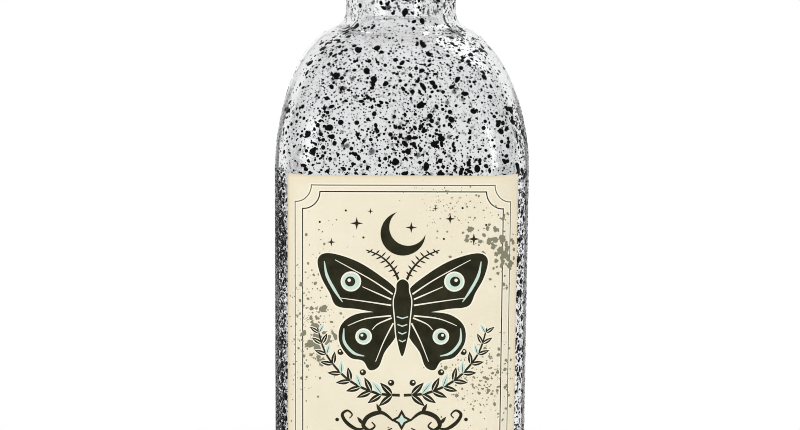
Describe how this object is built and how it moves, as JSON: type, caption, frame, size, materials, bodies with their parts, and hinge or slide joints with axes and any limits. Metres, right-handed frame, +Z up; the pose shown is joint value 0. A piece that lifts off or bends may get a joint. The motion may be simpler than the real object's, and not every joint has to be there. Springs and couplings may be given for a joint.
{
  "type": "poison bottle",
  "caption": "Square clear glass bottle with a domed shoulder, round neck and lip ring, closed by a tapered cork, with a paper label bent round the front corners.",
  "frame": {"origin": "centre of the square base, on the surface that the bottle stands on", "axes": "+Z up along the neck, -Y out of the labelled front face, +X to the viewer's right when the label is read"},
  "size_m": [0.076, 0.0762, 0.2287],
  "materials": {
    "glass": "clear, faintly grey soda-lime glass, glossy",
    "cork": "natural cork, matt, with dark pores",
    "paper": "aged cream paper, satin",
    "black_paint": "spattered black lacquer, glossy",
    "label_ink": "printed dark olive ink, satin"
  },
  "bodies": {
    "bottle": {"bottle": "glass", "front_label": "paper"},
    "stopper": {"cork_stopper": "cork"}
  },
  "joints": [
    {"name": "stopper_lift", "type": "slide", "parent": "bottle", "child": "stopper", "axis": [0, 0, 1], "range_m": [0, 0.03]}
  ]
}
